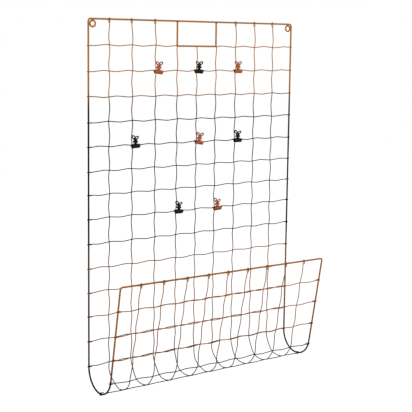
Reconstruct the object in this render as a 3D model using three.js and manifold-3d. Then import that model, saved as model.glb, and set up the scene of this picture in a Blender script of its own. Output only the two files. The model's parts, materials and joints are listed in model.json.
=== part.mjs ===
// Wall magazine rack: a rod frame filled with crimped wire mesh. The bottom of the sheet is folded up
// into a leaning pocket for magazines, and eight small bulldog clips grip the mesh above it.
//
// Millimetres, +Z up, +X to the right as seen from the room, -Y towards the room. The origin lies
// midway between the two hanging eyelets, in the plane of the back.

import * as THREE from 'three';
import Module from 'manifold-3d';
import { mergeVertices } from 'three/addons/utils/BufferGeometryUtils.js';

const wasm = await Module();
wasm.setup();

// Clearance kept between pieces that touch
const GAP = 0.3;

// Mesh: the grid that the wires follow, on the sheet as it was before folding
const COLUMN_PITCH = 51;
const COLUMNS = 9;
const ROW_PITCH = 49.5;
const BACK_ROWS = 14;
const FRONT_ROW_PITCH = 51;
const FRONT_ROWS = 4;

// Fold of the pocket
const BEND_RADIUS = 44;
const FRONT_LEAN = 10.5;
const BEND_ROW_ANGLE = 96;

// Rods and wires
const ROD_DIAMETER = 3.2;
const CORNER_RADIUS = 5;
const LABEL_CORNER_RADIUS = 2.2;
const WIRE_DIAMETER = 1.6;
const CRIMP_LENGTH = 56.5;
const CRIMP_HEIGHT = 1.2;
const HOOK_START = 10;
const HOOK_TAIL = 7;
const EYELET_OUTER = 15;
const EYELET_ROD = 3;

// Columns that the label frame stands on, and the row that closes it below
const LABEL_LEFT = 4;
const LABEL_RIGHT = 6;
const LABEL_ROW = 1;

// Bulldog clips
const SHEET = 0.6;
const SPRING_SHEET = 0.5;
const CLIP_WIDTH = 20;
const LIP_WIDTH = 18.6;
const ROOF_WIDTH = 9.2;
const NECK_WIDTH = 5;
const BARREL_WIDTH = 9;
const BARREL_DIAMETER = 6;
const BARREL_WRAP = 118;
const WAIST_ANGLE = 150;
const HANDLE_SPLAY = 34;
const HANDLE_REACH = 11.2;
const RING_DIAMETER = 9.4;
const RING_HOLE = 4.2;
const NECK_DROP = 3.6;
const SHOULDER_DROP = 5.2;
const SHOULDER_REACH = 5;
const LIP_DROP = 10.8;
const LIP_HEIGHT = 1;

// Facets: sides of a rod and of a wire, and the steps that each round stretch is bent in
const ROD_SIDES = 8;
const WIRE_SIDES = 5;
const BEND_STEPS = 9;
const CORNER_STEPS = 3;
const HOOK_STEPS = 3;
const EYELET_STEPS = 16;
const RING_CURVE = 5;
const BARREL_STEPS = 10;
const WAIST_STEPS = 4;

// Each wire was cut from crimped stock at another point of its wave, given in degrees, and was set in
// by hand, a few steps off its place in the grid
const PLACING_STEP = 1;
const COLUMN_WAVES = [20, -120, -80, -160, 100, 0, -160, -130, -130];
const COLUMN_SHIFTS = [-5, -3, 1, 3, 1, -1, 0, 0, -1];
const ROW_WAVES = [80, 40, -130, 100, -20, 50, -180, 110, 150, 0, 60, -90, 20, 130];
const ROW_SHIFTS = [1, 2, 3, 3, 2, 1, -1, -3, -2, -2, -3, -2, -2, 0];
const FRONT_ROW_WAVES = [-40, 70, 160, -100, 10];

const COPPER = 0xb5704d;
const BROWN = 0x5c3d28;
const BLACK = 0x17120e;

// Clips, each by the column and row that it grips, its distance right of the column, and how far it
// leans off the row wire between its jaws, in degrees, clockwise as seen from the room
const CLIPS = [
  { column: 3, row: 2, beside: 7, lean: 2, colour: COPPER },
  { column: 5, row: 2, beside: 7, lean: 3, colour: BLACK },
  { column: 7, row: 2, beside: 7, lean: 4.5, colour: COPPER },
  { column: 2, row: 5, beside: 8, lean: -4.5, colour: BLACK },
  { column: 5, row: 5, beside: 8.5, lean: 4.5, colour: COPPER },
  { column: 7, row: 5, beside: 8.5, lean: -1, colour: BLACK },
  { column: 4, row: 8, beside: 8, lean: 0, colour: BLACK },
  { column: 6, row: 8, beside: 8, lean: 1, colour: COPPER },
];

const ROD_RADIUS = ROD_DIAMETER / 2;
const WIRE_RADIUS = WIRE_DIAMETER / 2;
const HALF_WIDTH = ((COLUMNS + 1) * COLUMN_PITCH) / 2;
const EYELET_INSET = ROD_RADIUS + GAP + EYELET_OUTER / 2;
const BACK_LENGTH = BACK_ROWS * ROW_PITCH;
const BEND_ANGLE = THREE.MathUtils.degToRad(180 - FRONT_LEAN);
const BEND_ROW = BACK_LENGTH + BEND_RADIUS * THREE.MathUtils.degToRad(BEND_ROW_ANGLE);
const SHEET_LENGTH = BEND_ROW + (FRONT_ROWS + 1) * FRONT_ROW_PITCH;

// Columns run on the inner side of the sheet and rows on its outer side, just clear of each other
const LAYER = (WIRE_DIAMETER + GAP) / 2;
const INNER = -1;
const OUTER = 1;

const rack = new THREE.Group();

function addPiece(parent, name, geometry, colour) {
  const material = new THREE.MeshStandardMaterial({ color: colour, roughness: 0.4, metalness: 0.9 });
  const mesh = new THREE.Mesh(geometry, material);
  mesh.name = name;
  parent.add(mesh);
  return mesh;
}

// The lacquer is sprayed in bands across the flat sheet, each given in rows from the top bar: copper,
// black from the fourth row, a brown band, black round the bend, and copper on the pocket's front
const BANDS = [[3.1, COPPER], [3.8, BLACK], [9.4, BLACK], [10.2, BROWN], [13.2, BROWN], [14, BLACK],
  [16.6, BLACK], [18, COPPER]];

function lacquer(along) {
  const row = along / ROW_PITCH;
  const next = BANDS.findIndex(([edge]) => row < edge);
  if (next <= 0) {
    return new THREE.Color(COPPER);
  }
  const [[from, before], [to, after]] = [BANDS[next - 1], BANDS[next]];
  return new THREE.Color(before).lerp(new THREE.Color(after), (row - from) / (to - from));
}

// A point of the flat sheet after folding. Across is X, along runs from the top bar down the back,
// round the bend and up the pocket, and out is the height over the sheet on its outer side. The bend
// is a run of short flats, so that the rods and wires that cross there stay in line.
function fold(across, along, out) {
  const turn = BEND_ANGLE / BEND_STEPS;
  const flats = THREE.MathUtils.clamp((along - BACK_LENGTH) / (BEND_RADIUS * turn), 0, BEND_STEPS);
  const flat = Math.min(Math.floor(flats), BEND_STEPS - 1);
  const radius = BEND_RADIUS + out;
  const edge = (index) => new THREE.Vector3(
    across,
    radius * Math.cos(index * turn) - BEND_RADIUS,
    EYELET_INSET - BACK_LENGTH - radius * Math.sin(index * turn),
  );
  const beyond = along - BACK_LENGTH - flats * turn * BEND_RADIUS;
  const course = new THREE.Vector3(0, -Math.sin(flats * turn), -Math.cos(flats * turn));
  return edge(flat).lerp(edge(flat + 1), flats - flat).addScaledVector(course, beyond);
}

// A bent rod or wire: straight runs between knots, mitred at each knot
class BentWire extends THREE.Curve {
  constructor(knots, closed = false) {
    super();
    this.knots = knots;
    this.closed = closed;
    this.runs = closed ? knots.length : knots.length - 1;
  }

  knot(index) {
    return this.knots[(index + this.knots.length) % this.knots.length];
  }

  getPoint(u) {
    const index = Math.min(Math.floor(u * this.runs), this.runs - 1);
    return this.knot(index).clone().lerp(this.knot(index + 1), u * this.runs - index);
  }

  getPointAt(u) {
    return this.getPoint(u);
  }

  getTangentAt(u) {
    const index = Math.round(u * this.runs);
    const tangent = new THREE.Vector3();
    if (this.closed || index > 0) {
      tangent.add(this.knot(index).clone().sub(this.knot(index - 1)).normalize());
    }
    if (this.closed || index < this.runs) {
      tangent.add(this.knot(index + 1).clone().sub(this.knot(index)).normalize());
    }
    return tangent.normalize();
  }
}

function roundBar(knots, radius, sides) {
  const corners = Array.from({ length: sides }, (_, i) => {
    const angle = (2 * Math.PI * i) / sides;
    return new THREE.Vector2(radius * Math.cos(angle), radius * Math.sin(angle));
  });
  const path = new BentWire(knots);
  return new THREE.ExtrudeGeometry(new THREE.Shape(corners), { extrudePath: path, steps: path.runs });
}

// Points of a rod's corner on the flat sheet, about a centre, from one angle through a quarter turn
function cornerKnots(centreAcross, centreAlong, radius, fromDegrees, turnDegrees) {
  return Array.from({ length: CORNER_STEPS + 1 }, (_, i) => {
    const angle = THREE.MathUtils.degToRad(fromDegrees + (turnDegrees * i) / CORNER_STEPS);
    return fold(centreAcross + radius * Math.cos(angle), centreAlong + radius * Math.sin(angle), 0);
  });
}

function bendStops() {
  const stops = Array.from({ length: BEND_STEPS + 1 }, (_, i) => i / BEND_STEPS);
  return stops.map((share) => BACK_LENGTH + share * BEND_ANGLE * BEND_RADIUS);
}

// Frame: one rod, bent to a closed rectangle with rounded corners and folded with the sheet
function frameRod() {
  const side = HALF_WIDTH - CORNER_RADIUS;
  const low = SHEET_LENGTH - CORNER_RADIUS;
  const knots = [
    ...cornerKnots(side, CORNER_RADIUS, CORNER_RADIUS, -90, 90),
    ...bendStops().map((along) => fold(HALF_WIDTH, along, 0)),
    ...cornerKnots(side, low, CORNER_RADIUS, 0, 90),
    ...cornerKnots(-side, low, CORNER_RADIUS, 90, 90),
    ...bendStops().reverse().map((along) => fold(-HALF_WIDTH, along, 0)),
    ...cornerKnots(-side, CORNER_RADIUS, CORNER_RADIUS, 180, 90),
  ];
  const path = new BentWire(knots, true);
  return mergeVertices(new THREE.TubeGeometry(path, path.runs, ROD_RADIUS, ROD_SIDES, true));
}

function columnPlace(column) {
  const shift = COLUMN_SHIFTS[(column - 1) % COLUMN_SHIFTS.length] * PLACING_STEP;
  return column * COLUMN_PITCH - HALF_WIDTH + shift;
}

function rowPlace(row) {
  return row * ROW_PITCH + ROW_SHIFTS[(row - 1) % ROW_SHIFTS.length] * PLACING_STEP;
}

// Label frame: a U of the same rod under the top bar, whose ends butt against it from below
function labelFrame() {
  const left = columnPlace(LABEL_LEFT);
  const right = columnPlace(LABEL_RIGHT);
  const top = ROD_RADIUS + GAP;
  const corner = LABEL_CORNER_RADIUS;
  const low = rowPlace(LABEL_ROW) - corner;
  const knots = [
    fold(left, top, 0),
    ...cornerKnots(left + corner, low, corner, 180, -90),
    ...cornerKnots(right - corner, low, corner, 90, -90),
    fold(right, top, 0),
  ];
  return roundBar(knots, ROD_RADIUS, ROD_SIDES);
}

// Eyelet: a ring of round rod, welded into a top corner
function eyelet() {
  const middle = (EYELET_OUTER - EYELET_ROD) / 2;
  const ring = new THREE.TorusGeometry(middle, EYELET_ROD / 2, ROD_SIDES - 2, EYELET_STEPS);
  return mergeVertices(ring.rotateX(Math.PI / 2));
}

// Sideways height of the crimp at a point of a wire: straight flanks between its bends
function crimp(along, wave) {
  const turns = along / CRIMP_LENGTH - wave / 360;
  return CRIMP_HEIGHT * (4 * Math.abs(turns - Math.floor(turns) - 0.5) - 1);
}

function crimpBends(from, to, wave) {
  const half = CRIMP_LENGTH / 2;
  const start = wave / 180;
  const first = Math.ceil(from / half - start);
  const last = Math.floor(to / half - start);
  return Array.from({ length: Math.max(0, last - first + 1) }, (_, i) => (first + i + start) * half);
}

// A hooked end, from the end of the wire's run to its cut: the wire lifts clear of the rod, goes
// round it and lies back along itself. Each pair is the distance past the rod and the height over it.
const WRAP = ROD_RADIUS + GAP + WIRE_RADIUS;
const HOOK_TURN = Array.from({ length: HOOK_STEPS }, (_, i) => {
  const angle = Math.PI * (0.5 - (i + 0.5) / HOOK_STEPS);
  const corner = WRAP / Math.cos(Math.PI / 2 / HOOK_STEPS);
  return [corner * Math.cos(angle), corner * Math.sin(angle)];
});
const HOOK = [[-HOOK_START, LAYER], [-WRAP, WRAP], ...HOOK_TURN, [-HOOK_TAIL, -WRAP]];

function columnWire(column) {
  const wave = COLUMN_WAVES[(column - 1) % COLUMN_WAVES.length];
  const place = columnPlace(column);
  const under = column >= LABEL_LEFT && column <= LABEL_RIGHT;
  const start = under ? rowPlace(LABEL_ROW) + ROD_RADIUS + GAP : HOOK_START;
  const end = SHEET_LENGTH - HOOK_START;
  const across = (along) => place + crimp(along, wave);
  const frontStart = BACK_LENGTH + BEND_ANGLE * BEND_RADIUS;
  const stops = [
    ...crimpBends(start + WRAP, BACK_LENGTH - WRAP, wave),
    ...bendStops(),
    ...crimpBends(frontStart + WRAP, end - WRAP, wave),
  ];
  const run = stops.map((along) => fold(across(along), along, INNER * LAYER));
  const top = under
    ? [fold(across(start), start, INNER * LAYER)]
    : HOOK.map(([past, over]) => fold(across(start), -past, INNER * over)).reverse();
  const bottom = HOOK.map(([past, over]) => fold(across(end), SHEET_LENGTH + past, INNER * over));
  return roundBar([...top, ...run, ...bottom], WIRE_RADIUS, WIRE_SIDES);
}

// A row from one place across the sheet to another. An end at a side bar is hooked, and an end at
// the label frame butts against it.
function rowWire(along, wave, from, to) {
  const hookedLeft = from === -HALF_WIDTH;
  const hookedRight = to === HALF_WIDTH;
  const start = hookedLeft ? from + HOOK_START : from + ROD_RADIUS + GAP;
  const end = hookedRight ? to - HOOK_START : to - ROD_RADIUS - GAP;
  const height = (across) => along + crimp(across + HALF_WIDTH, wave);
  const stops = crimpBends(start + HALF_WIDTH + WRAP, end + HALF_WIDTH - WRAP, wave);
  const run = stops.map((stop) => fold(stop - HALF_WIDTH, height(stop - HALF_WIDTH), OUTER * LAYER));
  const left = hookedLeft
    ? HOOK.map(([past, over]) => fold(from - past, height(start), OUTER * over)).reverse()
    : [fold(start, height(start), OUTER * LAYER)];
  const right = hookedRight
    ? HOOK.map(([past, over]) => fold(to + past, height(end), OUTER * over))
    : [fold(end, height(end), OUTER * LAYER)];
  return roundBar([...left, ...run, ...right], WIRE_RADIUS, WIRE_SIDES);
}

// A sheet-metal section: the line of its middle, given its thickness, with mitred folds
function foldedSection(line, thickness) {
  const side = (sign) => line.map((point, i) => {
    const before = point.clone().sub(line[Math.max(i - 1, 0)]).normalize();
    const after = line[Math.min(i + 1, line.length - 1)].clone().sub(point).normalize();
    const along = before.clone().add(after).normalize();
    const square = i > 0 ? before : after;
    const reach = thickness / 2 / along.dot(square);
    return new THREE.Vector2(point.x - sign * along.y * reach, point.y + sign * along.x * reach);
  });
  return new THREE.Shape([...side(1), ...side(-1).reverse()]);
}

const AXIS_X = new THREE.Vector3(1, 0, 0);
const AXIS_Y = new THREE.Vector3(0, 1, 0);
const AXIS_Z = new THREE.Vector3(0, 0, 1);

// A profile in Y and Z, extruded across the clip
function extrudeAcross(shape, width) {
  const geometry = new THREE.ExtrudeGeometry(shape, { depth: width, bevelEnabled: false });
  geometry.translate(0, 0, -width / 2);
  return geometry.applyMatrix4(new THREE.Matrix4().makeBasis(AXIS_Y, AXIS_Z, AXIS_X));
}

// An outline in X and Z, extruded through the clip from front to back
function extrudeThrough(shape, depth) {
  const options = { depth, bevelEnabled: false, curveSegments: RING_CURVE };
  const geometry = new THREE.ExtrudeGeometry(shape, options);
  geometry.translate(0, 0, -depth / 2);
  return geometry.applyMatrix4(new THREE.Matrix4().makeBasis(AXIS_X, AXIS_Z, AXIS_Y.clone().negate()));
}

function toSolid(geometry) {
  const bare = geometry.clone().deleteAttribute('normal').deleteAttribute('uv');
  const merged = mergeVertices(bare, 1e-5);
  return new wasm.Manifold(new wasm.Mesh({
    numProp: 3,
    vertProperties: new Float32Array(merged.attributes.position.array),
    triVerts: new Uint32Array(merged.index.array),
  }));
}

function toGeometry(solid) {
  const mesh = solid.getMesh();
  const geometry = new THREE.BufferGeometry();
  geometry.setAttribute('position', new THREE.BufferAttribute(new Float32Array(mesh.vertProperties), 3));
  geometry.setIndex(new THREE.BufferAttribute(new Uint32Array(mesh.triVerts), 1));
  return geometry;
}

// Where a clip's sheet lies inside its spring barrel, and where the lip's middle stands from the
// column wire that it grips
const BARREL_BORE = BARREL_DIAMETER / 2 - SPRING_SHEET;
const WAIST_RADIUS = BARREL_BORE - GAP - SHEET / 2;
const LIP_REACH = WIRE_RADIUS + GAP + SHEET / 2;
const SPLAY = THREE.MathUtils.degToRad(HANDLE_SPLAY);

function polar(radius, angle) {
  return new THREE.Vector2(radius * Math.sin(angle), radius * Math.cos(angle));
}

// The lever's side view, about the barrel's axis: handle, the curl inside the barrel, neck, roof and
// jaw, down to the lip. It is the rear lever, and the front one is the same piece turned round.
function leverFold() {
  const waist = THREE.MathUtils.degToRad(WAIST_ANGLE);
  const curl = Array.from({ length: WAIST_STEPS + 1 }, (_, i) => (
    polar(WAIST_RADIUS, SPLAY + ((waist - SPLAY) * i) / WAIST_STEPS)
  ));
  const neck = curl[WAIST_STEPS].x;
  return foldedSection([
    polar(HANDLE_REACH + RING_DIAMETER, SPLAY),
    ...curl,
    new THREE.Vector2(neck, -NECK_DROP),
    new THREE.Vector2(SHOULDER_REACH, -SHOULDER_DROP),
    new THREE.Vector2(LIP_REACH, -LIP_DROP),
    new THREE.Vector2(LIP_REACH, -LIP_DROP - LIP_HEIGHT),
  ], SHEET);
}

// The lever's front view: wide jaw, slanting shoulders, narrow neck and the ring that fingers press
function leverOutline() {
  const flat = Math.cos(SPLAY);
  const ringHeight = HANDLE_REACH * flat;
  const ring = RING_DIAMETER / 2;
  const join = Math.asin(NECK_WIDTH / RING_DIAMETER);
  const lipEnd = -LIP_DROP - 2 * LIP_HEIGHT;
  const outline = new THREE.Shape();
  outline.moveTo(-LIP_WIDTH / 2, lipEnd);
  outline.lineTo(LIP_WIDTH / 2, lipEnd);
  outline.lineTo(CLIP_WIDTH / 2, -SHOULDER_DROP);
  outline.lineTo(ROOF_WIDTH / 2, -NECK_DROP);
  outline.lineTo(NECK_WIDTH / 2, -NECK_DROP + SHEET);
  const low = -Math.PI / 2;
  outline.absellipse(0, ringHeight, ring, ring * flat, low + join, low - join, false);
  outline.lineTo(-NECK_WIDTH / 2, -NECK_DROP + SHEET);
  outline.lineTo(-ROOF_WIDTH / 2, -NECK_DROP);
  outline.lineTo(-CLIP_WIDTH / 2, -SHOULDER_DROP);
  const hole = new THREE.Path();
  hole.absellipse(0, ringHeight, RING_HOLE / 2, (RING_HOLE / 2) * flat, 0, 2 * Math.PI, true);
  outline.holes.push(hole);
  return outline;
}

// One stamping: the folded strip, cut to its outline
function lever() {
  const strip = toSolid(extrudeAcross(leverFold(), CLIP_WIDTH + SHEET));
  const blank = toSolid(extrudeThrough(leverOutline(), 4 * HANDLE_REACH));
  return toGeometry(strip.intersect(blank));
}

// Spring barrel: sprung sheet rolled round both waists, open below for the jaws, with a window on top
// for the handles
function springBarrel() {
  const wrap = THREE.MathUtils.degToRad(BARREL_WRAP);
  const line = Array.from({ length: BARREL_STEPS + 1 }, (_, i) => (
    polar(BARREL_BORE + SPRING_SHEET / 2, wrap * ((2 * i) / BARREL_STEPS - 1))
  ));
  const tube = toSolid(extrudeAcross(foldedSection(line, SPRING_SHEET), BARREL_WIDTH));
  const reach = BARREL_DIAMETER / 2 * Math.sin(SPLAY) + SHEET / 2 / Math.cos(SPLAY) + GAP;
  const window = new THREE.BoxGeometry(NECK_WIDTH + 2 * GAP, 2 * reach, BARREL_DIAMETER);
  window.translate(0, 0, BARREL_DIAMETER / 2 + SPRING_SHEET);
  return toGeometry(tube.subtract(toSolid(window)));
}

function rowWave(row) {
  return ROW_WAVES[(row - 1) % ROW_WAVES.length];
}

// A clip lies along the stretch of row wire between its jaws, give or take its lean
function clipTilt(clip, across) {
  const end = (side) => crimp(across + HALF_WIDTH + (side * CLIP_WIDTH) / 2, rowWave(clip.row));
  return Math.atan2(end(1) - end(-1), CLIP_WIDTH) + THREE.MathUtils.degToRad(clip.lean);
}

// How far the clip's axis stands over the row wire inside its jaws: the wire lies under the roof of
// the rear lever, and the clip hangs on the highest point of the stretch that it covers
function clipHeight(clip, across, tilt) {
  const left = across + HALF_WIDTH - CLIP_WIDTH / 2;
  const right = left + CLIP_WIDTH;
  const places = [left, ...crimpBends(left, right, rowWave(clip.row)), right];
  const rise = Math.max(...places.map((place) => (
    (place - HALF_WIDTH - across) * Math.tan(tilt) - crimp(place, rowWave(clip.row))
  )));
  const neck = WAIST_RADIUS * Math.sin(THREE.MathUtils.degToRad(WAIST_ANGLE));
  const slope = (SHOULDER_DROP - NECK_DROP) / (SHOULDER_REACH - neck);
  const roof = NECK_DROP + slope * (2 * LAYER - neck);
  const clear = (SHEET / 2 + GAP + WIRE_RADIUS) * Math.hypot(1, slope);
  return rise + roof + clear;
}

addPiece(rack, 'frame_rod', frameRod(), lacquer(BACK_LENGTH / 2));
addPiece(rack, 'label_frame', labelFrame(), COPPER);
for (const [name, side] of [['eyelet_left', -1], ['eyelet_right', 1]]) {
  addPiece(rack, name, eyelet(), COPPER).position.x = side * (HALF_WIDTH - EYELET_INSET);
}

for (let column = 1; column <= COLUMNS; column += 1) {
  addPiece(rack, `column_${column}`, columnWire(column), lacquer(BACK_LENGTH / 2));
}

for (let row = 1; row <= BACK_ROWS; row += 1) {
  const place = rowPlace(row);
  const wave = rowWave(row);
  if (row === LABEL_ROW) {
    const left = rowWire(place, wave, -HALF_WIDTH, columnPlace(LABEL_LEFT));
    const right = rowWire(place, wave, columnPlace(LABEL_RIGHT), HALF_WIDTH);
    addPiece(rack, `row_${row}_left`, left, lacquer(place));
    addPiece(rack, `row_${row}_right`, right, lacquer(place));
  } else {
    addPiece(rack, `row_${row}`, rowWire(place, wave, -HALF_WIDTH, HALF_WIDTH), lacquer(place));
  }
}

for (let row = 0; row <= FRONT_ROWS; row += 1) {
  const name = row === 0 ? 'bottom_row' : `front_row_${row}`;
  const place = BEND_ROW + row * FRONT_ROW_PITCH;
  const wave = FRONT_ROW_WAVES[row % FRONT_ROW_WAVES.length];
  addPiece(rack, name, rowWire(place, wave, -HALF_WIDTH, HALF_WIDTH), lacquer(place));
}

for (const [index, clip] of CLIPS.entries()) {
  const wave = COLUMN_WAVES[(clip.column - 1) % COLUMN_WAVES.length];
  const height = rowPlace(clip.row);
  const across = columnPlace(clip.column) + crimp(height, wave) + clip.beside;
  const group = new THREE.Group();
  group.rotation.y = clipTilt(clip, across);
  group.position.copy(fold(across, height, INNER * LAYER));
  group.position.z += clipHeight(clip, across, group.rotation.y);
  rack.add(group);
  addPiece(group, `clip_${index + 1}_spring`, springBarrel(), clip.colour);
  addPiece(group, `clip_${index + 1}_rear_lever`, lever(), clip.colour);
  addPiece(group, `clip_${index + 1}_front_lever`, lever(), clip.colour).rotation.z = Math.PI;
}

export default rack;
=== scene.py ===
"""Wall magazine rack: a grid of crimped wire in a rod frame, folded up at the bottom to a pocket for
magazines, with small bulldog clips on the wires. Copper, black and brown lacquer in sprayed bands."""
import json
import math

import bmesh
import bpy
import numpy as np
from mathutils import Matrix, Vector


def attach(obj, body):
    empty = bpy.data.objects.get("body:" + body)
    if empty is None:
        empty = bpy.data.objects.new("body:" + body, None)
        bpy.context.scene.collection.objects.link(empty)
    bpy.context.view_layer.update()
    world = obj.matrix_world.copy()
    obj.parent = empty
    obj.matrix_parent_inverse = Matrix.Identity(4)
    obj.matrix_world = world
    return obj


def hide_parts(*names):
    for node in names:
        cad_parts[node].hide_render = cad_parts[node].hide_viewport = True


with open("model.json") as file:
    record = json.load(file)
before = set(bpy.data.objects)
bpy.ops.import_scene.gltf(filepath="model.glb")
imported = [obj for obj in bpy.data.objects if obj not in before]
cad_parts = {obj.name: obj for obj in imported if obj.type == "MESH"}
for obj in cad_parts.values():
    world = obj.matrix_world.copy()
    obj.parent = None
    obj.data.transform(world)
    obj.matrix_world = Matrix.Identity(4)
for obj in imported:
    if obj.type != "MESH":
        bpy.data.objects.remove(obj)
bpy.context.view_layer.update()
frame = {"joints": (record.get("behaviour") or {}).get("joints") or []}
mm = 0.001


# Camera: the photograph's own view, from the rack's left at the height of its eyelets, found by
# fitting the wires' hooked ends. The picture is one part of a taller one, so the lens is shifted.
turn, dip, roll = (math.radians(angle) for angle in (35.59, -7.58, 0.77))
ahead = np.array([math.sin(turn) * math.cos(dip), math.cos(turn) * math.cos(dip), math.sin(dip)])
level = np.array([math.cos(turn), -math.sin(turn), 0])
upright = np.cross(level, ahead)
camera_right = math.cos(roll) * level + math.sin(roll) * upright
camera_up = math.cos(roll) * upright - math.sin(roll) * level
camera = bpy.data.objects.new("camera", bpy.data.cameras.new("camera"))
bpy.context.scene.collection.objects.link(camera)
camera_matrix = np.eye(4)
camera_matrix[:3, 0], camera_matrix[:3, 1], camera_matrix[:3, 2] = camera_right, camera_up, -ahead
camera_matrix[:3, 3] = -1.2261, -1.7538, -0.0384
camera.matrix_world = camera_matrix.T.tolist()
camera.data.sensor_width = 36
camera.data.lens = 89.25
camera.data.shift_y = -0.0607
bpy.context.scene.camera = camera


# Folded sheet: the rod frame and the wires are laid out flat, and then bent together round one
# former, to a back that hangs on the wall and a front that leans out, away from it.
column_pitch, columns, row_pitch, back_rows = 51 * mm, 9, 49.5 * mm, 14
front_row_pitch, front_rows = 51 * mm, 4
rod_radius, wire_radius = 1.6 * mm, 0.8 * mm
bend_radius, bend_turn = 44 * mm, math.radians(180 - 10.5)
half_width = (columns + 1) * column_pitch / 2
top_height = 9.4 * mm
back_length = back_rows * row_pitch
bottom_row = back_length + bend_radius * math.radians(96)
sheet_length = bottom_row + (front_rows + 1) * front_row_pitch
rows_long = sheet_length / row_pitch


def fold(across, along, out):
    """Flat sheet to folded one: straight down the back, then a circle of the bend's radius plus the
    height over the sheet's outer side, then straight up the front at the angle the bend ends at."""
    turned = np.clip((along - back_length) / bend_radius, 0, bend_turn)
    beyond = along - back_length - turned * bend_radius
    radius = bend_radius + out
    y = radius * np.cos(turned) - bend_radius - np.sin(turned) * beyond
    z = top_height - back_length - radius * np.sin(turned) - np.cos(turned) * beyond
    return np.stack(np.broadcast_arrays(across, y, z), -1)


def sheet_normal(along):
    """Outer side of the folded sheet: level at the back, turning with the bend."""
    turned = np.clip((along - back_length) / bend_radius, 0, bend_turn)
    return np.stack([np.zeros_like(turned), np.cos(turned), -np.sin(turned)], -1)


def sheet_course(along):
    """Course of the sheet, from the top bar towards the pocket's bar: down at the back."""
    turned = np.clip((along - back_length) / bend_radius, 0, bend_turn)
    return np.stack([np.zeros_like(turned), -np.sin(turned), -np.cos(turned)], -1)


def unit(vectors):
    """Vectors divided by their own lengths."""
    return vectors / np.linalg.norm(vectors, axis=-1, keepdims=True)


def grid_faces(rows, across, rows_close=False, across_close=False):
    """Quads of a grid: each point with its neighbours in the next row and the next place across.
    The grid closes on itself where it's said to."""
    row, place = np.meshgrid(np.arange(rows - (not rows_close)),
                             np.arange(across - (not across_close)), indexing="ij")
    next_row, next_place = (row + 1) % rows, (place + 1) % across
    corners = [row * across + place, next_row * across + place,
               next_row * across + next_place, row * across + next_place]
    return np.stack(corners, -1).reshape(-1, 4)


sharp_angle = math.radians(50)


def add_piece(name, points, faces, material, node=None, body="rack", marks=None):
    """One mesh at the origin, shaded smooth except at sharp edges. Marks are numbers or vectors kept
    on each point, which the material reads by their names."""
    mesh = bpy.data.meshes.new(name)
    mesh.from_pydata(points.reshape(-1, 3).tolist(), [], [list(face) for face in faces])
    for mark, values in (marks or {}).items():
        vectors = np.ndim(values) == 2
        kept = mesh.attributes.new(mark, "FLOAT_VECTOR" if vectors else "FLOAT", "POINT")
        kept.data.foreach_set("vector" if vectors else "value", np.ravel(values).astype(np.float32))
    mesh.polygons.foreach_set("use_smooth", np.ones(len(mesh.polygons), bool))
    mesh.set_sharp_from_angle(angle=sharp_angle)
    mesh.materials.append(material)
    piece = bpy.data.objects.new(name, mesh)
    bpy.context.scene.collection.objects.link(piece)
    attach(piece, body)
    if node:
        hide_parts(node)
    return piece


def linear(hex_colour, alpha=1.0):
    """An sRGB colour written as hex, as linear light, with its alpha."""
    channels = np.array([int(hex_colour[place:place + 2], 16) for place in (1, 3, 5)]) / 255
    light = np.where(channels <= 0.04045, channels / 12.92, ((channels + 0.055) / 1.055) ** 2.4)
    return (*light.tolist(), alpha)


def add_node(material, kind, settings=None, inputs=None, links=None):
    """Adds a node to a material: its settings, its sockets' values, and the links into it."""
    node = material.node_tree.nodes.new(kind)
    for name, value in (settings or {}).items():
        setattr(node, name, value)
    for socket, value in (inputs or {}).items():
        node.inputs[socket].default_value = value
    for socket, source in (links or {}).items():
        material.node_tree.links.new(source, node.inputs[socket])
    return node


def new_material(name):
    """An empty material, for the nodes of one finish."""
    material = bpy.data.materials.new(name)
    material.use_nodes = True
    material.node_tree.nodes.clear()
    return material


def finish_material(material, inputs, links, bump=None):
    """Ends a material: one surface shader, with its relief where it has one."""
    if bump is not None:
        links = dict(links, Normal=bump.outputs["Normal"])
    shader = add_node(material, "ShaderNodeBsdfPrincipled", {}, inputs, links)
    add_node(material, "ShaderNodeOutputMaterial", {}, {}, {"Surface": shader.outputs["BSDF"]})
    return material


def spread(material, source, low, high):
    """A 0 to 1 pattern turned to a range, so that each pattern is set in the property's own units."""
    return add_node(material, "ShaderNodeMapRange", {}, {"To Min": low, "To Max": high},
                    {"Value": source}).outputs["Result"]


def cloudy_tint(material, cloud, lows, high):
    """A tint that swims with a cloud: in each channel, the cloud spread from its own low to the high."""
    return add_node(material, "ShaderNodeCombineColor", {}, {}, {
        channel: spread(material, cloud.outputs["Fac"], low, high)
        for channel, low in zip(("Red", "Green", "Blue"), lows)}).outputs["Color"]


# Lacquer: metallic lacquer, 0.15 mm thick, sprayed in bands on the finished grid. A ramp over the
# rows of the flat sheet gives the bands, and its alpha the share of metal flake in each. The bands
# end in overspray: single drops of one colour on the other, finer than a wire is wide.
coat = 0.15 * mm
copper_hex, black_hex, brown_hex = "#9a6319", "#190d03", "#7a4a0e"
red_copper_hex, pocket_bar_hex = "#84480a", "#925a14"
# each stop of the ramp: its row, its colour and its share of flake
band_stops = [(0.0, copper_hex, 0.9), (2.8, copper_hex, 0.9), (3.5, black_hex, 0.0),
              (9.2, black_hex, 0.0), (10.1, brown_hex, 0.8), (12.7, brown_hex, 0.8),
              (13.6, black_hex, 0.0), (16.6, black_hex, 0.0), (17.6, red_copper_hex, 0.9),
              (19.4, pocket_bar_hex, 0.9)]


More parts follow.
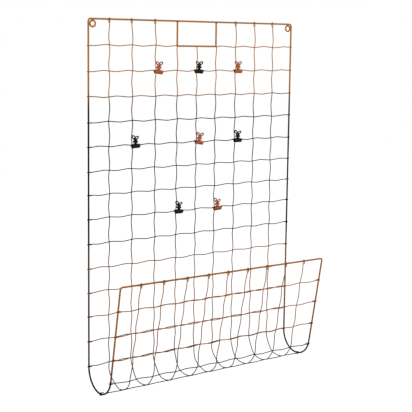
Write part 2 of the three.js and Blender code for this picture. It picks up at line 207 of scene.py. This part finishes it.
def sprayed_lacquer(name):
    """Metallic lacquer: a soft metal sheen where it holds flake, and satin black where it holds none.
    The row on the sheet, shifted by the spray's wander and its drops, picks both on the ramp."""
    material = new_material(name)
    place = add_node(material, "ShaderNodeTexCoord").outputs["Object"]
    drawn = add_node(material, "ShaderNodeAttribute", {"attribute_name": "drawn"}).outputs["Vector"]
    row = add_node(material, "ShaderNodeAttribute", {"attribute_name": "row"}).outputs["Fac"]
    # the spray gun's edge wanders over some 60 mm, and its drops are 0.3 mm, half of a noise cell
    wander = add_node(material, "ShaderNodeTexNoise", {}, {"Scale": 1 / (60 * mm), "Detail": 2.0},
                      {"Vector": place})
    drops = add_node(material, "ShaderNodeTexNoise", {}, {"Scale": 1 / (0.6 * mm), "Detail": 1.0},
                     {"Vector": place})
    off = add_node(material, "ShaderNodeMath", {"operation": "ADD"}, {}, {
        0: spread(material, wander.outputs["Fac"], -0.5, 0.5),
        1: spread(material, drops.outputs["Fac"], -0.7, 0.7)})
    sprayed = add_node(material, "ShaderNodeMath", {"operation": "ADD"}, {},
                       {0: row, 1: off.outputs["Value"]})
    share = add_node(material, "ShaderNodeMath", {"operation": "DIVIDE"}, {1: rows_long},
                     {0: sprayed.outputs["Value"]})
    bands = add_node(material, "ShaderNodeValToRGB", {}, {}, {"Fac": share.outputs["Value"]})
    ramp = bands.color_ramp
    for index, (stop, colour, flake) in enumerate(band_stops):
        element = ramp.elements[index] if index < 2 else ramp.elements.new(1.0)
        element.position = stop / rows_long
        element.color = linear(colour, flake)
    # flake and dust make the colour swim a little over a few millimetres
    cloud = add_node(material, "ShaderNodeTexNoise", {}, {"Scale": 1 / (4 * mm), "Detail": 3.0},
                     {"Vector": place})
    tint = add_node(material, "ShaderNodeMix", {"data_type": "RGBA", "blend_type": "MULTIPLY"},
                    {"Factor": 1.0}, {"A": bands.outputs["Color"],
                                      "B": cloudy_tint(material, cloud, (0.84, 0.8, 0.76), 1.12)})
    # relief: the drawing die's lines, 25 mm long and 0.4 mm apart, which is coarser than they are, so
    # that they show, and over them the lacquer's orange peel
    stretched = add_node(material, "ShaderNodeMapping", {}, {"Scale": (2500, 2500, 40)},
                         {"Vector": drawn})
    die_lines = add_node(material, "ShaderNodeTexNoise", {}, {"Scale": 1.0, "Detail": 2.0},
                         {"Vector": stretched.outputs["Vector"]})
    peel = add_node(material, "ShaderNodeTexNoise", {}, {"Scale": 1 / (0.9 * mm), "Detail": 2.0},
                    {"Vector": place})
    lines = add_node(material, "ShaderNodeBump", {}, {"Strength": 0.25, "Distance": 0.03 * mm},
                     {"Height": die_lines.outputs["Fac"]})
    bump = add_node(material, "ShaderNodeBump", {}, {"Strength": 0.35, "Distance": 0.05 * mm},
                    {"Height": peel.outputs["Fac"], "Normal": lines.outputs["Normal"]})
    return finish_material(material, {"Specular IOR Level": 0.03}, {
        "Base Color": tint.outputs["Result"], "Metallic": bands.outputs["Alpha"],
        "Roughness": spread(material, cloud.outputs["Fac"], 0.34, 0.56)}, bump)


lacquer = sprayed_lacquer("sprayed_band_lacquer")


def wire_space(angle, radius, length):
    """A straightened bar's own space: round the bar by angle and radius, and along it."""
    radius, length = radius[:, None], length[:, None]
    return np.stack(np.broadcast_arrays(
        radius * np.cos(angle), radius * np.sin(angle), length), -1).reshape(-1, 3)


def round_bar(across, along, out, side_at, radius, around, closed=False):
    """A round bar laid in the sheet: at each point of its path, a circle of the bar's radius plus
    the coat, square to the course there. Each circle starts at a side vector, freed of its part
    along the course, so that the bar isn't twisted. At a cut end the last circle is a fifth
    smaller, for the edge that the shear breaks."""
    across, along, out = np.broadcast_arrays(across, along, out)
    if not closed:
        # one more circle close to each cut, 0.12 of a step from it
        places = np.concatenate([[0, 0.12], np.arange(1, len(along) - 1),
                                 [len(along) - 1.12, len(along) - 1]])
        index = np.arange(len(along))
        across, along, out = (np.interp(places, index, values) for values in (across, along, out))
    path = fold(across, along, out)
    radius = np.full(len(path), radius + coat)
    if closed:
        course = unit(np.roll(path, -1, 0) - np.roll(path, 1, 0))
    else:
        radius[[0, -1]] *= 0.8
        course = unit(np.gradient(path, axis=0))
    side = side_at(along)
    right = unit(side - (side * course).sum(-1, keepdims=True) * course)
    up = np.cross(course, right)
    angle = 2 * np.pi * np.arange(around) / around
    ring = np.cos(angle)[:, None] * right[:, None] + np.sin(angle)[:, None] * up[:, None]
    points = path[:, None] + radius[:, None, None] * ring
    length = np.concatenate([[0], np.cumsum(np.linalg.norm(np.diff(path, axis=0), axis=1))])
    faces = grid_faces(len(path), around, closed, True)[:, ::-1].tolist()
    if not closed:
        last = len(path) * around
        faces += [list(range(around - 1, -1, -1)), list(range(last - around, last))]
    marks = {"row": np.repeat(along / row_pitch, around), "drawn": wire_space(angle, radius, length)}
    return points, faces, marks


# Frame: one 3.2 mm steel rod, bent to a closed rectangle with 5 mm corners, butt welded, and folded
# with the wires.
def corner(centre_across, centre_along, radius, start, sweep, steps=8):
    """A quarter turn of rod in the flat sheet: a circle's points, from one angle to the next."""
    angle = np.radians(np.linspace(start, start + sweep, steps + 1))
    return centre_across + radius * np.cos(angle), centre_along + radius * np.sin(angle)


corner_radius, rod_sides = 5 * mm, 20
side_step, last_step = 10 * mm, 0.1 * mm
inner_width, inner_length = half_width - corner_radius, sheet_length - corner_radius
front_start = back_length + bend_radius * bend_turn
side_stops = np.concatenate([
    np.arange(2 * corner_radius, back_length, side_step), [back_length - last_step],
    back_length + bend_radius * np.linspace(0, bend_turn, 37),
    np.arange(front_start + side_step / 2, inner_length - corner_radius, side_step)])
frame_across, frame_along = (np.concatenate(parts) for parts in zip(
    corner(inner_width, corner_radius, corner_radius, -90, 90),
    (np.full_like(side_stops, half_width), side_stops),
    corner(inner_width, inner_length, corner_radius, 0, 90),
    corner(-inner_width, inner_length, corner_radius, 90, 90),
    (np.full_like(side_stops, -half_width), side_stops[::-1]),
    corner(-inner_width, corner_radius, corner_radius, 180, 90)))
points, faces, marks = round_bar(frame_across, frame_along, 0, sheet_normal, rod_radius, rod_sides, True)
# the left side bar is kept dark down to the bend, where the right one turns brown: its mark is
# held at the last dark row there, and jumps on over the last 0.1 mm of the back
last_dark_row, left_bar = 9.3, np.repeat(frame_across, rod_sides) < 0
held_dark = left_bar & (marks["row"] > last_dark_row) & (marks["row"] < back_rows - 0.001)
marks["row"][held_dark] = last_dark_row
add_piece("bent_rod_frame", points, faces, lacquer, "frame_rod", marks=marks)


# Label frame: a U of the same rod under the top bar, mitred tight at its corners, with its two ends
# welded to the bar. Two of the columns' places are its sides, and the top row's is its bottom. Each
# wire was set in by hand, up to 5 mm off its place in the grid.
column_places = (np.arange(1, columns + 1) * column_pitch - half_width
                 + np.array([-5, -3, 1, 3, 1, -1, 0, 0, -1]) * mm)
row_shifts = np.array([1, 2, 3, 3, 2, 1, -1, -3, -2, -2, -3, -2, -2, 0]) * mm
row_places = np.concatenate([np.arange(1, back_rows + 1) * row_pitch + row_shifts,
                             bottom_row + np.arange(front_rows + 1) * front_row_pitch])
label_columns = range(3, 6)
label_left, label_right = (column_places[label_columns[end]] for end in (0, -1))
label_bottom = row_places[0]
label_corner = 2.2 * mm
label_low = label_bottom - label_corner
label_stops = np.linspace(rod_radius * 0.6, label_low - label_corner, 5)
label_across, label_along = (np.concatenate(parts) for parts in zip(
    (np.full_like(label_stops, label_left), label_stops),
    corner(label_left + label_corner, label_low, label_corner, 180, -90),
    corner(label_right - label_corner, label_low, label_corner, 90, -90),
    (np.full_like(label_stops, label_right), label_stops[::-1])))
points, faces, marks = round_bar(label_across, label_along, 0, sheet_normal, rod_radius, rod_sides)
add_piece("label_rod_frame", points, faces, lacquer, "label_frame", marks=marks)


# Eyelets: rings bent from 3 mm round steel rod, which hang on screws or hooks in the wall. Each is
# welded into a top corner of the frame, to the bar above it and to the one beside it.
def eyelet(centre, ring_radius=6 * mm, bar_radius=1.5 * mm + coat, steps=48, around=16):
    """A torus: a circle of the bar's radius carried round a circle of the ring's, with the hole's
    axis square to the wall."""
    turned = 2 * np.pi * np.arange(steps) / steps
    angle = 2 * np.pi * np.arange(around) / around
    reach = ring_radius + bar_radius * np.cos(angle)[None]
    points = np.stack(np.broadcast_arrays(
        centre + reach * np.cos(turned)[:, None], bar_radius * np.sin(angle)[None],
        reach * np.sin(turned)[:, None]), -1)
    marks = {"row": np.zeros(steps * around),
             "drawn": wire_space(angle, np.full(steps, bar_radius), turned * ring_radius)}
    return points, grid_faces(steps, around, True, True)[:, ::-1], marks


eyelet_places = {"eyelet_left": top_height - half_width, "eyelet_right": half_width - top_height}
for name, centre in eyelet_places.items():
    points, faces, marks = eyelet(centre)
    add_piece(f"{name}_ring", points, faces, lacquer, name, marks=marks)


# Columns: 1.6 mm wire, crimped between toothed rollers, on the inner side of the sheet. Each hooks
# round the top bar and the pocket's bar, but three start under the label frame, welded to it.
crimp_length, crimp_height, crimp_roundness = 56.5 * mm, 1.2 * mm, 0.95
hook_start, hook_tail, tail_pinch = 10 * mm, 7 * mm, 0.9 * mm
wrap = rod_radius + wire_radius
wire_sides, run_step = 12, 2.2 * mm
# how far a wire's middle lies off the sheet's, and how far a welded end stops from the rod's middle
layer, butt_gap = 0.95 * mm, 1.2 * mm
column_waves = np.array([20, -120, -80, -160, 100, 0, -160, -130, -130])


def crimp(along, wave):
    """Sideways height of the crimp: straight flanks and bends rounded by the roller's teeth, as the
    arcsine of a cosine that is a little too small to reach its corners."""
    angle = 2 * np.pi * along / crimp_length - np.radians(wave)
    return crimp_height * np.arcsin(crimp_roundness * np.cos(angle)) / math.asin(crimp_roundness)


def hook():
    """A hooked end, from the wire's run to its cut: it rises over the rod in a smooth step, goes
    half round it on a circle that touches it, and lies back along itself, closed in by pliers.
    Each point is its distance past the rod's middle, and its height over it."""
    share = np.arange(1, 12) / 12
    step = share ** 2 * (3 - 2 * share)
    angle = np.radians(np.linspace(90, -90, 15))
    back = np.linspace(0, 1, 7)[1:]
    past = np.concatenate([-hook_start * (1 - share), wrap * np.cos(angle), -hook_tail * back])
    over = np.concatenate([layer + (wrap - layer) * step, wrap * np.sin(angle),
                           -wrap + tail_pinch * back ** 2])
    return past, over


hook_past, hook_over = hook()


def wire_run(start, end):
    """Even stops along a wire's run, from its start to its end, a little over a run step apart."""
    return np.linspace(start, end, int((end - start) / run_step))


def column_across(column, along):
    """Where a column lies across the sheet: its own place there, plus the crimp at that height."""
    return column_places[column] + crimp(along, column_waves[column])


def column_wire(column, start):
    """Across, along and out of a column: the crimp over its run, held where its hooks begin. A
    start below the top bar is a cut end without a hook."""
    end = sheet_length - hook_start
    run = wire_run(start, end)
    parts = [(run, run, np.full_like(run, -layer)),
             (np.full_like(hook_past, end), sheet_length + hook_past, -hook_over)]
    if start == hook_start:
        parts.insert(0, (np.full_like(hook_past, start), -hook_past[::-1], -hook_over[::-1]))
    place, along, out = (np.concatenate(values) for values in zip(*parts))
    return column_across(column, place), along, out


def across_side(along):
    """The side vector of a bar that runs down the sheet: straight across, at every point."""
    return np.tile([1.0, 0.0, 0.0], (len(along), 1))


under_label = label_bottom + butt_gap
for column in range(columns):
    path = column_wire(column, under_label if column in label_columns else hook_start)
    points, faces, marks = round_bar(*path, across_side, wire_radius, wire_sides)
    name = f"column_{column + 1}"
    add_piece(f"{name}_wire", points, faces, lacquer, name, marks=marks)


# Rows: the same wire on the outer side of the sheet, hooked round the side bars. The first is in
# two pieces, left and right of the label frame, with their inner ends welded to it.
row_waves = np.array([80, 40, -130, 100, -20, 50, -180, 110, 150, 0, 60, -90, 20, 130,
                      -40, 70, 160, -100, 10])


def row_along(row, across):
    """Where a row lies along the sheet: its own place there, plus the crimp at that point across."""
    return row_places[row] + crimp(across + half_width, row_waves[row])


def row_wire(row, left, right):
    """Across, along and out of a row, from its left end to its right, hooked at the side bars."""
    hooked_left, hooked_right = left == -half_width, right == half_width
    start = left + (hook_start if hooked_left else butt_gap)
    end = right - (hook_start if hooked_right else butt_gap)
    run = wire_run(start, end)
    parts = [(run, run, np.full_like(run, layer))]
    if hooked_left:
        parts.insert(0, (np.full_like(hook_past, start), left - hook_past[::-1], hook_over[::-1]))
    if hooked_right:
        parts.append((np.full_like(hook_past, end), right + hook_past, hook_over))
    place, across, out = (np.concatenate(values) for values in zip(*parts))
    return across, row_along(row, place), out


def band_slot(row):
    """The record's finish at a row of the flat sheet: the band of lacquer that it lies in."""
    if 9.5 < row < 13.5:
        return "brown_lacquer"
    return "black_lacquer" if 3.5 < row < 17 else "copper_lacquer"


for row in range(len(row_places)):
    if row < back_rows:
        name = f"row_{row + 1}"
    else:
        name = f"front_row_{row - back_rows}" if row > back_rows else "bottom_row"
    spans = {name: (-half_width, half_width)}
    if row == 0:
        spans = {"row_1_left": (-half_width, label_left), "row_1_right": (label_right, half_width)}
    for name, (left, right) in spans.items():
        path = row_wire(row, left, right)
        points, faces, marks = round_bar(*path, sheet_course, wire_radius, wire_sides)
        slot = band_slot(row_places[row] / row_pitch)
        add_piece(f"{name}_wire", points, faces, lacquer, name, marks=marks)


# Welds: beads of filler where rods meet or a wire's end butts on a rod, and a spot weld at each
# crossing of the wires, all lacquered over.
def weld_beads(starts, ends, radii, ripples, steps, around):
    """Beads along straight lines: an egg's profile over each line, with a few ripples from the
    torch. Both poles are single points."""
    starts, ends = np.asarray(starts), np.asarray(ends)
    share = (1 - np.cos(np.linspace(0, np.pi, steps + 2)[1:-1])) / 2
    line = ends - starts
    course = unit(line)
    aside = unit(np.cross(course, [0.31, 0.87, 0.38]))
    upward = np.cross(course, aside)
    angle = 2 * np.pi * np.arange(around) / around
    profile = np.sqrt(1 - (2 * share - 1) ** 2) * (1 + 0.07 * np.cos(ripples * np.pi * share))
    ring = np.cos(angle)[:, None] * aside[:, None] + np.sin(angle)[:, None] * upward[:, None]
    middle = starts[:, None, None] + share[:, None, None] * line[:, None, None]
    points = middle + (np.asarray(radii)[:, None] * profile)[:, :, None, None] * ring[:, None]
    count = steps * around
    points = np.concatenate([points.reshape(len(starts), count, 3), starts[:, None], ends[:, None]], 1)
    place = np.arange(around)
    pole = np.full(around, count)
    fans = np.stack([np.stack([pole, (place + 1) % around, place], -1),
                     np.stack([pole + 1, count - around + place,
                               count - around + (place + 1) % around], -1)]).reshape(-1, 3)
    offsets = (np.arange(len(starts)) * (count + 2))[:, None, None]
    quads = (grid_faces(steps, around, False, True)[:, ::-1] + offsets).reshape(-1, 4)
    return points, quads.tolist() + (fans + offsets).reshape(-1, 3).tolist()


def weld_marks(rows, points):
    """The marks of beads: the row that each one lies in, and each point's own place."""
    return {"row": np.repeat(rows, points.shape[1]), "drawn": points.reshape(-1, 3)}


column, row = np.meshgrid(np.arange(columns), np.arange(len(row_places)))
crossed = (row > 0) | ~np.isin(column, list(label_columns))
column, row = column[crossed], row[crossed]
cross_across = column_across(column, row_places[row])
cross_along = row_along(row, cross_across)
spot_reach, spot_radius = 1.3 * mm, 0.78 * mm
spot_start, spot_end = (fold(cross_across, cross_along, out) for out in (-spot_reach, spot_reach))
points, faces = weld_beads(spot_start, spot_end, np.full(len(spot_start), spot_radius),
                           ripples=0, steps=5, around=10)
add_piece("crossing_spot_welds", points, faces, lacquer,
          marks=weld_marks(cross_along / row_pitch, points))

# each bead's start across and along, its end across and along, its height out, and its radius: at
# the label frame's ends, the wires cut at that frame, the eyelets, and the frame's own butt weld
wire_bead, ring_bead, ring_bead_reach, ring_gap = 1.35 * mm, 1.25 * mm, 2.4 * mm, 1.75 * mm
butts = [(edge, 0.8 * mm, edge, 3.4 * mm, 0, 2.3 * mm) for edge in (label_left, label_right)]
for column in label_columns:
    across = column_across(column, under_label)
    butts.append((across, under_label - 0.9 * mm, across, under_label + 1.7 * mm, -layer, wire_bead))
for side, edge in ((-1, label_left), (1, label_right)):
    along = row_along(0, edge + side * butt_gap)
    butts.append((edge + side * 0.3 * mm, along, edge + side * 2.9 * mm, along, layer, wire_bead))
for side in (-1, 1):
    middle, edge = side * (half_width - top_height), side * (half_width - ring_gap)
    butts.append((middle - ring_bead_reach, ring_gap, middle + ring_bead_reach, ring_gap, 0, ring_bead))
    butts.append((edge, top_height - ring_bead_reach, edge, top_height + ring_bead_reach, 0, ring_bead))
butts.append((-1.1 * mm, sheet_length, 1.1 * mm, sheet_length, 0, 1.95 * mm))
butts = np.array(butts)
bead_start = fold(butts[:, 0], butts[:, 1], butts[:, 4])
bead_end = fold(butts[:, 2], butts[:, 3], butts[:, 4])
points, faces = weld_beads(bead_start, bead_end, butts[:, 5], ripples=5, steps=14, around=20)
add_piece("rod_and_butt_welds", points, faces, lacquer,
          marks=weld_marks(butts[:, 1] / row_pitch, points))


# Clips: small bulldog clips that hold notes and postcards, hung on the wires. Each has two levers
# stamped and folded from 0.6 mm spring steel, with a ring for the finger at the top and a wide jaw
# below, held together by a barrel of rolled spring sheet.
def rounded_line(corners, reach, steps=5):
    """A bent sheet's middle line: straight runs, and at each corner a parabola that starts and ends
    the reach away from it, or half a run away where that is nearer."""
    corners = np.asarray(corners)
    runs = np.diff(corners, axis=0)
    lengths = np.linalg.norm(runs, axis=1)
    cut = np.minimum(reach, 0.45 * np.minimum(lengths[:-1], lengths[1:]))[:, None, None]
    share = np.linspace(0, 1, steps + 1)[None, :, None]
    before = corners[1:-1, None] - cut * unit(runs)[:-1, None]
    after = corners[1:-1, None] + cut * unit(runs)[1:, None]
    bends = ((1 - share) ** 2 * before + 2 * share * (1 - share) * corners[1:-1, None]
             + share ** 2 * after)
    return np.concatenate([corners[:1], bends.reshape(-1, 2), corners[-1:]])


def towards(radius, degrees):
    """A point of the clip's side view, by its distance and angle from straight up at the barrel."""
    angle = np.radians(degrees)
    return np.stack([radius * np.sin(angle), radius * np.cos(angle)], -1)


sheet, splay, waist_radius, waist_angle = 0.6 * mm, 34, 1.9 * mm, 150
ring_centre, ring_radius, ring_hole = 11.2 * mm, 4.7 * mm, 1.9 * mm
neck_half, neck_end = 2.5 * mm, 4.8 * mm
lip_reach, lip_drop, hem_radius, fold_reach = 1.15 * mm, 11.4 * mm, 0.6 * mm, 0.7 * mm
lip_top, shoulder, neck_foot = [lip_reach, -10.6 * mm], [5 * mm, -5.2 * mm], [0.95 * mm, -3.5 * mm]
barrel_sheet, barrel_middle, barrel_wrap = 0.5 * mm, 2.75 * mm, 118
hem_angle = np.radians(np.linspace(20, -180, 11))
hem = np.stack([lip_reach + hem_radius + hem_radius * np.cos(hem_angle),
                -lip_drop + hem_radius * np.sin(hem_angle)], -1)
curl = towards(waist_radius, np.linspace(waist_angle, splay, 9))
fold_line = rounded_line(np.concatenate([
    hem, [lip_top, shoulder, neck_foot], curl,
    towards(np.array([ring_centre + 2 * ring_radius]), [splay])]), fold_reach)
fold_length = np.concatenate([[0], np.cumsum(np.linalg.norm(np.diff(fold_line, axis=0), axis=1))])


def fold_place(target):
    """How far along the folded strip the point nearest to a target lies."""
    return fold_length[np.argmin(np.linalg.norm(fold_line - np.asarray(target), axis=1))]


def lever():
    """One lever, as the middle of its sheet: the flat blank is a strip whose half width changes
    along it, and above it a ring on a polar grid that shares the neck's top edge. Each point is
    then moved from its place along the strip to the folded line. Marked by its nearness to an edge."""
    strip_points = 15
    ring_place = fold_place(towards(waist_radius, splay)) + ring_centre - waist_radius
    stops = [0, fold_place(lip_top), fold_place(shoulder) - 0.5 * mm, fold_place(shoulder) + 0.4 * mm,
             fold_place(neck_foot) - 0.3 * mm, fold_place(neck_foot) + 0.8 * mm]
    widths = np.array([9.1, 9.4, 10, 9.7, 4.5, 2.5]) * mm
    strip_end = ring_place - ring_centre + neck_end
    along = np.linspace(0, strip_end, 64)
    half = np.interp(along, stops, widths)
    half = np.convolve(np.pad(half, 1, mode="edge"), [0.25, 0.5, 0.25], "valid")
    half[:3] *= [0.975, 0.993, 1]
    share_across = np.sin(np.linspace(-np.pi / 2, np.pi / 2, strip_points))
    join = math.asin(neck_half / ring_radius)
    join_angle = join * np.linspace(-1, 1, strip_points)
    arc_across = ring_radius * np.sin(join_angle)
    arc_place = ring_place - ring_radius * np.cos(join_angle)
    blend = np.linspace(0, 1, 5)[1:, None]
    strip_across = half[:, None] * share_across
    neck_across = strip_across[-1] * (1 - blend) + arc_across * blend
    neck_place = strip_end * (1 - blend) + arc_place * blend
    across = np.concatenate([strip_across, neck_across])
    place = np.concatenate([np.repeat(along[:, None], strip_points, 1), neck_place])
    # the edge's wear, and on the copper plate the painted highlight along the rims, reaches 0.5 mm in
    rim = np.clip(1 - (np.abs(across[:, -1:]) - np.abs(across)) / (0.5 * mm), 0, 1)
    rim[0] = 1
    strip_faces = grid_faces(len(across), strip_points)
    ring_angle = np.concatenate([join_angle, np.linspace(join, 2 * np.pi - join, 40)[1:-1]])
    ring_reach = np.array([ring_radius, 4.3 * mm, 3.4 * mm, 2.5 * mm, ring_hole])
    ring_across = np.sin(ring_angle)[:, None] * ring_reach
    ring_along = ring_place - np.cos(ring_angle)[:, None] * ring_reach
    ring_rim = np.tile([1.0, 0.1, 0, 0.1, 1.0], (len(ring_angle), 1))
    ring_rim[1:strip_points - 1, 0] = 0
    ring_faces = grid_faces(len(ring_angle), len(ring_reach), True)[:, ::-1] + across.size
    across, place, rim = (np.concatenate([np.ravel(a), np.ravel(b)]) for a, b in (
        (across, ring_across), (place, ring_along), (rim, ring_rim)))
    points = np.stack([across, np.interp(place, fold_length, fold_line[:, 0]),
                       np.interp(place, fold_length, fold_line[:, 1])], -1)
    return points, np.concatenate([strip_faces, ring_faces]).tolist(), rim.ravel()


def barrel():
    """The spring barrel, as the middle of its sheet: a tube open by 124 degrees below, with the
    window's cells left out on top, where the levers' necks come through."""
    # the window reaches 2.34 mm to each side, on the outer radius of 3 mm
    window = math.degrees(math.asin(2.34 / 3))
    window_steps, window_places = slice(8, 22), slice(2, 6)
    turned = np.concatenate([np.linspace(-barrel_wrap, -window, 9),
                             np.linspace(-window, window, 15)[1:-1],
                             np.linspace(window, barrel_wrap, 9)])
    across = np.array([-4.5, -4.3, -2.75, -1.4, 0, 1.4, 2.75, 4.3, 4.5]) * mm
    side = towards(barrel_middle, turned)
    points = np.stack(np.broadcast_arrays(across, side[:, :1], side[:, 1:]), -1)
    kept = np.ones((len(turned) - 1, len(across) - 1), bool)
    kept[window_steps, window_places] = False
    rim = np.zeros((len(turned), len(across)))
    rim[[0, -1]] = rim[:, [0, -1]] = 1
    return points, grid_faces(len(turned), len(across))[kept.ravel()].tolist(), rim.ravel()


def stamped_metal(name, colour, wear_and_highlight_colour, metallic, wear_and_highlight_metallic, roughness):
    """Plated or enamelled spring steel. Tumbling wears the finish off the sheet's edges, in nicks of
    0.4 mm, and leaves fine scratches all over that the eye reads as a soft sheen. On the black
    enamel the worn edges show bare metal. On the copper plate their lighter copper is a painted
    highlight, the light caught on the rims, laid over the wear's nicks."""
    material = new_material(name)
    place = add_node(material, "ShaderNodeTexCoord").outputs["Object"]
    rim = add_node(material, "ShaderNodeAttribute", {"attribute_name": "rim"}).outputs["Fac"]
    nicks = add_node(material, "ShaderNodeTexNoise", {}, {"Scale": 1 / (0.8 * mm), "Detail": 4.0},
                     {"Vector": place})
    cloud = add_node(material, "ShaderNodeTexNoise", {}, {"Scale": 1 / (3 * mm), "Detail": 2.0},
                     {"Vector": place})
    edge = add_node(material, "ShaderNodeMath", {"operation": "MULTIPLY"}, {},
                    {0: rim, 1: spread(material, nicks.outputs["Fac"], -0.9, 1.9)})
    wear_and_highlight = add_node(material, "ShaderNodeMapRange", {}, {"From Min": 0.45, "From Max": 0.75},
                    {"Value": edge.outputs["Value"]}).outputs["Result"]
    shade = add_node(material, "ShaderNodeMix", {"data_type": "RGBA", "blend_type": "MULTIPLY"},
                     {"Factor": 1.0, "A": linear(colour)},
                     {"B": cloudy_tint(material, cloud, (0.88, 0.84, 0.8), 1.1)})
    # at the worn edges the colour turns to the edge colour: bare metal on black enamel, and a painted
    # highlight on copper plate
    base = add_node(material, "ShaderNodeMix", {"data_type": "RGBA"}, {"B": linear(wear_and_highlight_colour)},
                    {"Factor": wear_and_highlight, "A": shade.outputs["Result"]})
    # scratches 1.1 mm long and 0.2 mm apart, coarser than real ones, so that they show
    scratched = add_node(material, "ShaderNodeMapping", {}, {"Scale": (900, 5000, 900)},
                         {"Vector": place})
    scratches = add_node(material, "ShaderNodeTexNoise", {}, {"Scale": 1.0, "Detail": 2.0},
                         {"Vector": scratched.outputs["Vector"]})
    bump = add_node(material, "ShaderNodeBump", {}, {"Strength": 0.2, "Distance": 0.03 * mm},
                    {"Height": scratches.outputs["Fac"]})
    return finish_material(material, {"Specular IOR Level": 0.12}, {
        "Base Color": base.outputs["Result"],
        "Metallic": spread(material, wear_and_highlight, metallic, wear_and_highlight_metallic),
        "Roughness": spread(material, cloud.outputs["Fac"], roughness - 0.08, roughness + 0.12)}, bump)


# the copper plate's lighter edge colour is a painted highlight, standing for light caught on the clips'
# rims
copper_plate = stamped_metal("copper_plated_steel", "#a35f3e", "#c4835f", 1.0, 1.0, 0.3)
black_enamel = stamped_metal("black_enamelled_steel", "#0f0a06", "#332a22", 0.0, 0.8, 0.42)
clips, copper_clips = 8, (1, 3, 5, 8)


def add_stamping(name, node, shape, centre, axes, thickness, material, body):
    """A stamping at its clip: turned and moved into place, then given the sheet's thickness, with
    the burr taken off its edges by a bevel of 0.12 mm."""
    points, faces, rim = shape
    points = centre + points.reshape(-1, 3) @ axes
    piece = add_piece(name, points, faces, material, node, body, {"rim": rim})
    mesh = bmesh.new()
    mesh.from_mesh(piece.data)
    bmesh.ops.remove_doubles(mesh, verts=mesh.verts, dist=0.01 * mm)
    bmesh.ops.recalc_face_normals(mesh, faces=mesh.faces)
    mesh.to_mesh(piece.data)
    mesh.free()
    solid = piece.modifiers.new("sheet", "SOLIDIFY")
    solid.thickness, solid.offset, solid.use_even_offset = thickness, 0, True
    bevel = piece.modifiers.new("broken_edges", "BEVEL")
    bevel.width, bevel.segments, bevel.limit_method = 0.12 * mm, 2, "ANGLE"
    bevel.angle_limit = sharp_angle
    piece.modifiers.new("shading", "WEIGHTED_NORMAL").keep_sharp = True


lever_shape, barrel_shape = lever(), barrel()
joints = {joint["name"]: joint for joint in frame["joints"]}
depth = np.array([0.0, 1.0, 0.0])
for number in range(1, clips + 1):
    joint = joints[f"clip_{number}_rear_squeeze"]
    centre, clip_across = np.array(joint["pos_m"]), np.array(joint["axis"])
    axes = np.array([clip_across, depth, np.cross(clip_across, depth)])
    turned_round = np.diag([-1.0, -1.0, 1.0]) @ axes
    plated = number in copper_clips
    finish, slot = (copper_plate, "copper_plate") if plated else (black_enamel, "black_enamel")
    add_stamping(f"clip_{number}_barrel", f"clip_{number}_spring", barrel_shape, centre, axes,
                 barrel_sheet, finish, "rack")
    for side, side_axes in (("rear", axes), ("front", turned_round)):
        body = f"clip_{number}_{side}"
        add_stamping(f"{body}_jaw", f"{body}_lever", lever_shape, centre, side_axes, sheet,
                     finish, body)


# Stage: a plain white floor below the hung rack, in a white surround. Two soft lamps stand in the
# room, a strong one high at the rack's left and a weak one at its right.
def seen_share(material):
    """1 for what the camera, a mirror or glass sees, and 0 for the light that falls on things."""
    path = add_node(material, "ShaderNodeLightPath")
    some = add_node(material, "ShaderNodeMath", {"operation": "MAXIMUM"}, {},
                    {0: path.outputs["Is Camera Ray"], 1: path.outputs["Is Glossy Ray"]})
    return add_node(material, "ShaderNodeMath", {"operation": "MAXIMUM"}, {},
                    {0: some.outputs["Value"], 1: path.outputs["Is Transmission Ray"]}
                    ).outputs["Value"]


floor_material = new_material("white_floor")
paint = add_node(floor_material, "ShaderNodeBsdfDiffuse", {}, {"Color": (0.9, 0.9, 0.9, 1)})
glow = add_node(floor_material, "ShaderNodeEmission", {}, {"Color": (1, 1, 1, 1), "Strength": 1.15})
share = add_node(floor_material, "ShaderNodeMath", {"operation": "MULTIPLY"}, {1: 0.8},
                 {0: seen_share(floor_material)})
mixed = add_node(floor_material, "ShaderNodeMixShader", {}, {}, {
    0: share.outputs["Value"], 1: paint.outputs["BSDF"], 2: glow.outputs["Emission"]})
add_node(floor_material, "ShaderNodeOutputMaterial", {}, {}, {"Surface": mixed.outputs["Shader"]})
floor_reach, floor_height = 6, -1.1
floor_mesh = bpy.data.meshes.new("floor")
floor_mesh.from_pydata([(x * floor_reach, y * floor_reach, floor_height)
                        for x, y in ((-1, -1), (1, -1), (1, 1), (-1, 1))], [], [(0, 1, 2, 3)])
floor_mesh.materials.append(floor_material)
floor = bpy.data.objects.new("floor", floor_mesh)
bpy.context.scene.collection.objects.link(floor)

world = bpy.data.worlds.new("white_surround")
bpy.context.scene.world = world
world.use_nodes = True
world.node_tree.nodes.clear()
surround = add_node(world, "ShaderNodeBackground", {}, {"Color": (1, 1, 1, 1)}, {
    "Strength": spread(world, seen_share(world), 0.75, 1.0)})
add_node(world, "ShaderNodeOutputWorld", {}, {}, {"Surface": surround.outputs["Background"]})

rack_middle = Vector((0, 0, -0.35))
for name, place, size, power in (("key", (-1.6, -1.8, 1.1), 1.2, 22),
                                 ("fill", (1.6, -1.6, 0.2), 1.6, 9)):
    lamp = bpy.data.lights.new(name, "AREA")
    lamp.size, lamp.energy = size, power
    lamp_object = bpy.data.objects.new(name, lamp)
    bpy.context.scene.collection.objects.link(lamp_object)
    lamp_object.location = place
    aim = rack_middle - Vector(place)
    lamp_object.rotation_euler = aim.to_track_quat("-Z", "Y").to_euler()

bpy.context.scene.view_settings.view_transform = "Standard"
